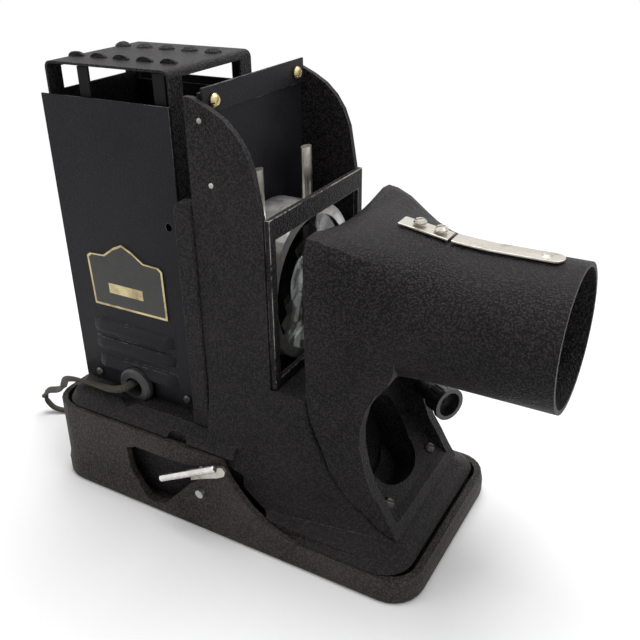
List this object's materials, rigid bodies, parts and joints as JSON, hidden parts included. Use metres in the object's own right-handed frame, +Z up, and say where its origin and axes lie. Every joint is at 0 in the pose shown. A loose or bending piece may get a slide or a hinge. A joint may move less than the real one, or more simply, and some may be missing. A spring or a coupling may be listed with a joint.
{
  "type": "slide projector",
  "caption": "Small black slide projector with a tilting head on a cast base, lamphouse, condenser, open slide slot and lens snout.",
  "frame": {"origin": "centre of the base's footprint on the table", "axes": "+X the way the snout points, +Y the object's left side, +Z up"},
  "size_m": [0.2778, 0.1951, 0.2],
  "materials": {
    "base_black": "black wrinkle paint, browner than the body",
    "wrinkle_black": "black wrinkle paint",
    "satin_black": "satin black enamel",
    "inner_black": "dull black inside",
    "chrome": "polished",
    "nickel": "nickel plate, worn",
    "aluminium": "dull, with dark staining",
    "brass": "worn",
    "steel": "plain",
    "knob_black": "moulded, glossy",
    "glass": "clear",
    "mirror": "silvered",
    "ceramic": "unglazed",
    "grommet_black": "satin, worn",
    "cord_olive": "braided cotton over twin wires, dark olive",
    "plug_black": "moulded, dull"
  },
  "bodies": {
    "base": {"base_casting": "base_black", "tilt_pin": "steel", "lamp_lead": "cord_olive", "lead_coil": "cord_olive", "lead_plug": "plug_black"},
    "lever": {"tilt_lever": "nickel", "lever_rod": "chrome", "lift_crank": "steel"},
    "head": {"body_casting": "wrinkle_black", "cord_grommet": "grommet_black", "rail_left": "wrinkle_black", "rail_right": "wrinkle_black", "partition": "satin_black", "partition_strip": "satin_black", "strip_screw_left": "brass", "strip_screw_right": "brass", "gate_frame": "wrinkle_black", "nose_casting": "wrinkle_black", "foot_screw_left": "steel", "foot_screw_right": "steel", "spring_clamp": "nickel", "spring_screw_rear": "nickel", "spring_screw_front": "nickel", "lamp_socket": "ceramic", "lamp_base": "brass", "lamp_bulb": "glass", "reflector": "mirror", "reflector_post": "steel"},
    "focus_leaf": {"focus_spring": "nickel"},
    "lamphouse": {"lamphouse_shell": "wrinkle_black", "side_panel_right": "satin_black", "side_panel_left": "satin_black", "liner_right": "inner_black", "liner_left": "inner_black", "panel_screw_right_rear": "steel", "panel_screw_right_front": "steel", "panel_screw_left_rear": "steel", "panel_screw_left_front": "steel"},
    "condenser": {"condenser_barrel": "aluminium", "rear_lens": "glass", "front_lens": "glass", "post_right": "nickel", "post_left": "nickel"},
    "focus_knob": {"knob": "knob_black", "knob_shaft": "steel"}
  },
  "joints": [
    {"name": "tilt_lever", "type": "hinge", "parent": "base", "child": "lever", "pos_m": [-0.0048, -0.046, 0.0212], "axis": [0, -1, 0], "range_deg": [0, 50]},
    {"name": "head_tilt", "type": "hinge", "parent": "base", "child": "head", "pos_m": [-0.083, 0, 0.026], "axis": [0, -1, 0], "range_deg": [0, 5.4]},
    {"name": "focus_leaf", "type": "hinge", "parent": "head", "child": "focus_leaf", "pos_m": [0.0872, 0, 0.1412], "axis": [0, -1, 0], "range_deg": [0, 3], "stiffness_Nm_per_rad": 0.5},
    {"name": "lamphouse_lift", "type": "slide", "parent": "head", "child": "lamphouse", "axis": [0, 0, 1], "range_m": [0, 0.13]},
    {"name": "condenser_lift", "type": "slide", "parent": "head", "child": "condenser", "axis": [0, 0, 1], "range_m": [0, 0.12]},
    {"name": "knob_turn", "type": "hinge", "parent": "head", "child": "focus_knob", "pos_m": [0.0825, 0.0215, 0.0546], "axis": [0.8829, -0.4695, 0], "continuous": true}
  ],
  "couplings": [
    {"joint": "tilt_lever", "follows": "head_tilt", "ratio": 9.259}
  ]
}
